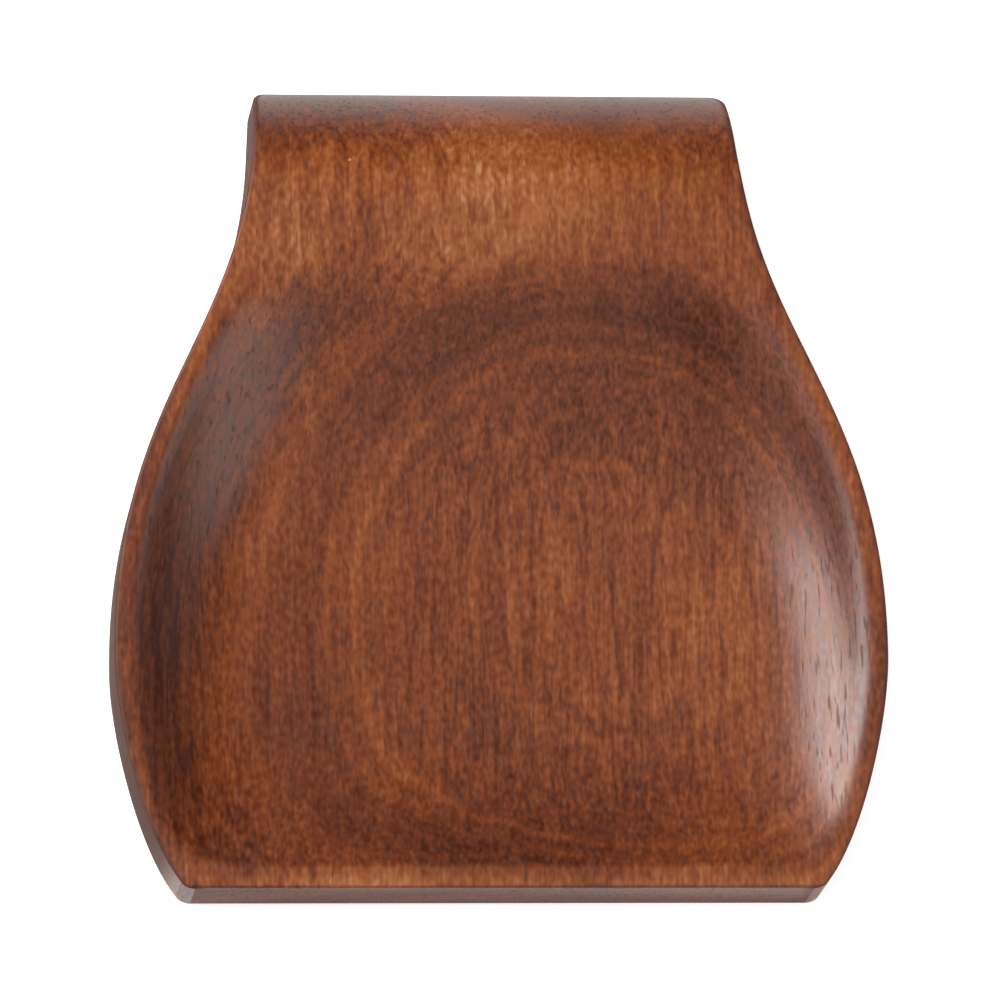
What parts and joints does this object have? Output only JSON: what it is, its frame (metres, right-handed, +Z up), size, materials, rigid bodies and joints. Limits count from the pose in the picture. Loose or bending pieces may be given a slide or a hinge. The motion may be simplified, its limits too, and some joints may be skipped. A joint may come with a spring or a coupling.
{
  "type": "spoon rest",
  "caption": "Bell-shaped wooden spoon rest: a scooped dish with narrow rims that sweeps up to a raised level neck with a rolled end.",
  "frame": {"origin": "middle of the flat underside's bounding box, on the surface the part stands on", "axes": "+X across the dish, with the part symmetric about X = 0; +Y from the front rim to the neck; +Z up"},
  "size_m": [0.1118, 0.12, 0.0205],
  "materials": {
    "varnished_wood": "satin varnish over reddish-brown figured hardwood"
  },
  "bodies": {
    "root": {"carved_body": "varnished_wood"}
  },
  "joints": []
}
